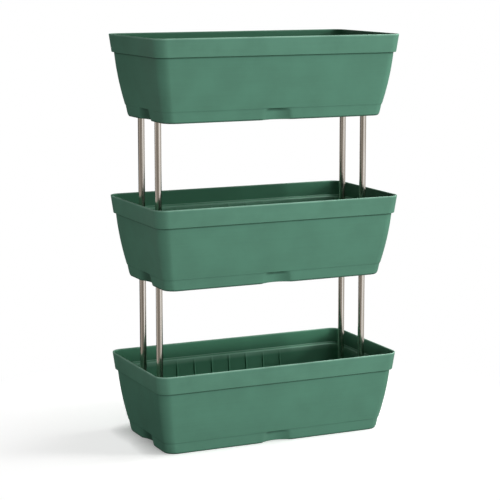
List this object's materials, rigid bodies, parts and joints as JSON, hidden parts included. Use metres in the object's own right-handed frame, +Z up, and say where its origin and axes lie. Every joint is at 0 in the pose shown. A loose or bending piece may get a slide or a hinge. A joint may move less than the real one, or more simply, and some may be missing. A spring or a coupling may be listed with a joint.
{
  "type": "vertical raised garden bed",
  "caption": "Free-standing vertical planter: moulded trough tubs stacked on steel tube posts, each tier lifting straight up off the posts below it.",
  "frame": {"origin": "on the ground, under the middle of the stack", "axes": "+Z up the stack, X along the tubs, -Y to the front"},
  "size_m": [0.6, 0.31, 0.919],
  "materials": {
    "tub_plastic": "moulded polypropylene, green, fine matt texture",
    "post_steel": "drawn stainless tube, satin polished",
    "plug_plastic": "moulded polyethylene, black"
  },
  "bodies": {
    "base": {"bottom_tub": "tub_plastic"},
    "lower_posts": {"lower_post_front_left": "post_steel", "lower_post_front_right": "post_steel", "lower_post_rear_left": "post_steel", "lower_post_rear_right": "post_steel", "lower_post_front_left_foot_plug": "plug_plastic", "lower_post_front_left_head_plug": "plug_plastic", "lower_post_front_right_foot_plug": "plug_plastic", "lower_post_front_right_head_plug": "plug_plastic", "lower_post_rear_left_foot_plug": "plug_plastic", "lower_post_rear_left_head_plug": "plug_plastic", "lower_post_rear_right_foot_plug": "plug_plastic", "lower_post_rear_right_head_plug": "plug_plastic"},
    "middle_tier": {"middle_tub": "tub_plastic"},
    "upper_posts": {"upper_post_front_left": "post_steel", "upper_post_front_right": "post_steel", "upper_post_rear_left": "post_steel", "upper_post_rear_right": "post_steel", "upper_post_front_left_foot_plug": "plug_plastic", "upper_post_front_left_head_plug": "plug_plastic", "upper_post_front_right_foot_plug": "plug_plastic", "upper_post_front_right_head_plug": "plug_plastic", "upper_post_rear_left_foot_plug": "plug_plastic", "upper_post_rear_left_head_plug": "plug_plastic", "upper_post_rear_right_foot_plug": "plug_plastic", "upper_post_rear_right_head_plug": "plug_plastic"},
    "top_tier": {"top_tub": "tub_plastic"}
  },
  "joints": [
    {"name": "lower_posts_lift", "type": "slide", "parent": "base", "child": "lower_posts", "axis": [0, 0, 1], "range_m": [0, 0.17]},
    {"name": "middle_tier_lift", "type": "slide", "parent": "lower_posts", "child": "middle_tier", "axis": [0, 0, 1], "range_m": [0, 0.06]},
    {"name": "upper_posts_lift", "type": "slide", "parent": "middle_tier", "child": "upper_posts", "axis": [0, 0, 1], "range_m": [0, 0.17]},
    {"name": "top_tier_lift", "type": "slide", "parent": "upper_posts", "child": "top_tier", "axis": [0, 0, 1], "range_m": [0, 0.06]}
  ]
}
